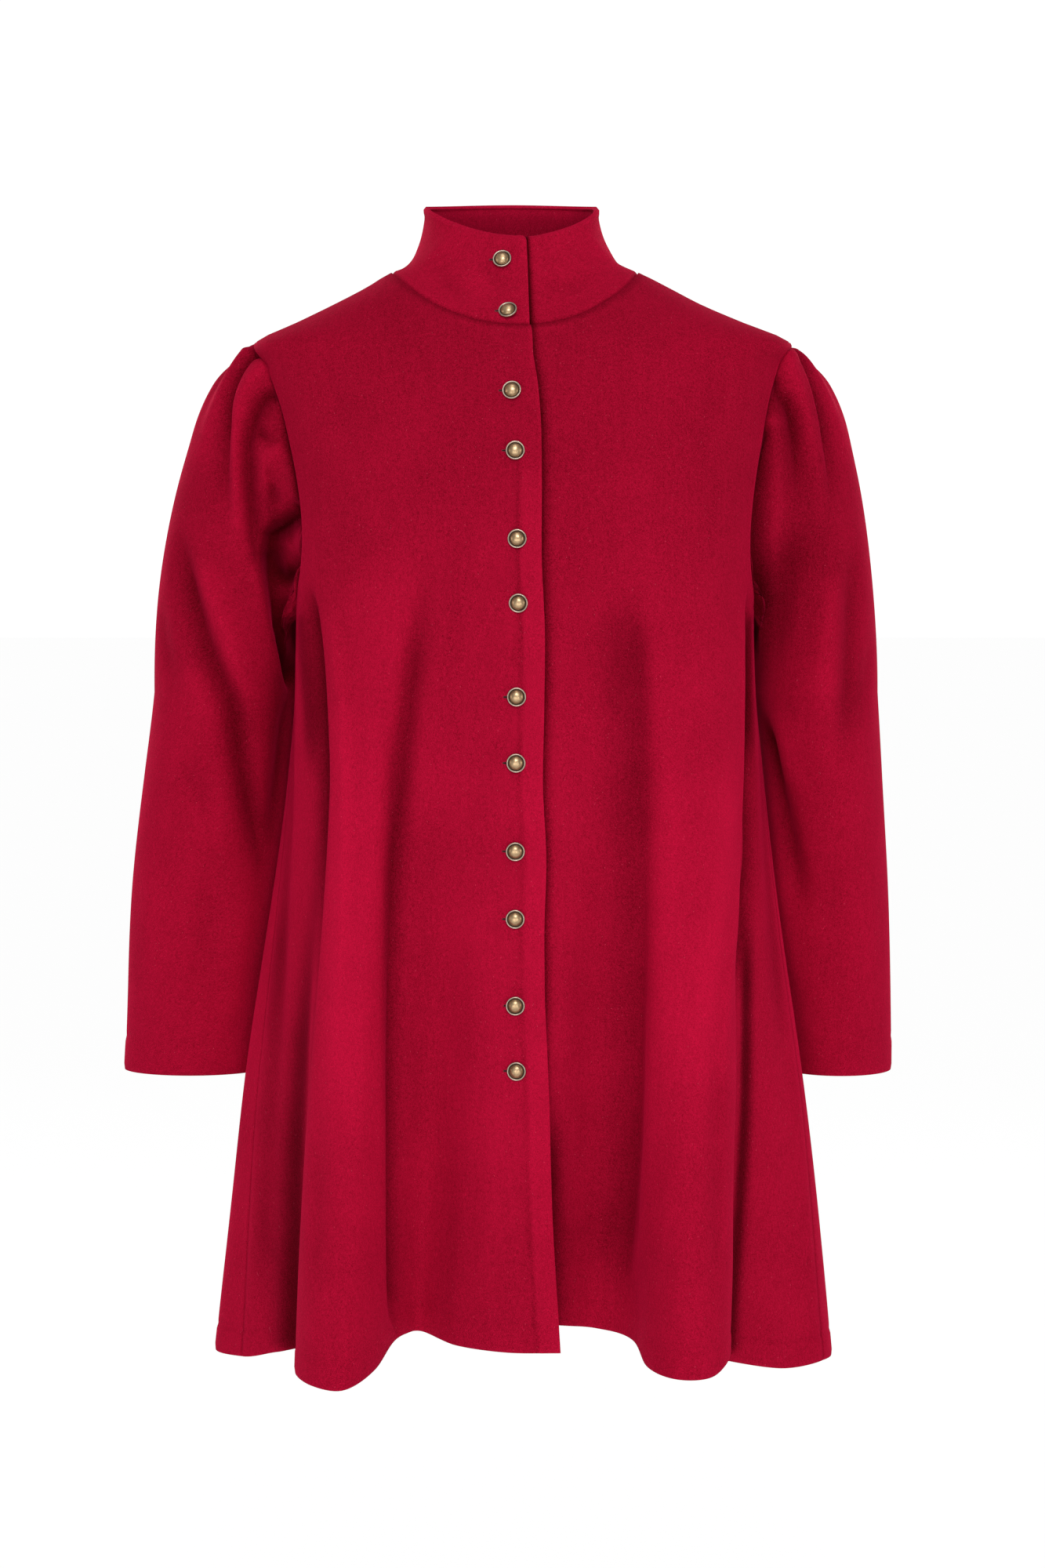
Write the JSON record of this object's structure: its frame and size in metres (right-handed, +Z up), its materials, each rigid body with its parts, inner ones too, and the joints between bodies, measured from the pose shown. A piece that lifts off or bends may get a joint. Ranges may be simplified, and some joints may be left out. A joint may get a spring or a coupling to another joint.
{
  "type": "flared button-front coat",
  "caption": "Flared knee-length wool coat with a standing funnel collar, a buttoned lapped front, pleated sleeve heads and deep hem folds, hollow in its worn shape.",
  "frame": {"origin": "the wearer's neck, midway between the sides of the neckline at its own height, where the coat hangs from the shoulders", "axes": "+Z up along the wearer's spine, -Y the way the buttoned front faces, +X the wearer's left"},
  "size_m": [0.624, 0.377, 0.9157],
  "materials": {
    "wool": "deep red fulled wool with a short nap",
    "old_brass": "antique brass with darkened grooves"
  },
  "bodies": {
    "root": {"front_right": "wool", "front_left": "wool", "back": "wool", "sleeve_right": "wool", "sleeve_left": "wool", "collar": "wool", "button_01": "old_brass", "button_02": "old_brass", "button_03": "old_brass", "button_04": "old_brass", "button_05": "old_brass", "button_06": "old_brass", "button_07": "old_brass", "button_08": "old_brass", "button_09": "old_brass", "button_10": "old_brass", "button_11": "old_brass", "button_12": "old_brass"}
  },
  "joints": []
}
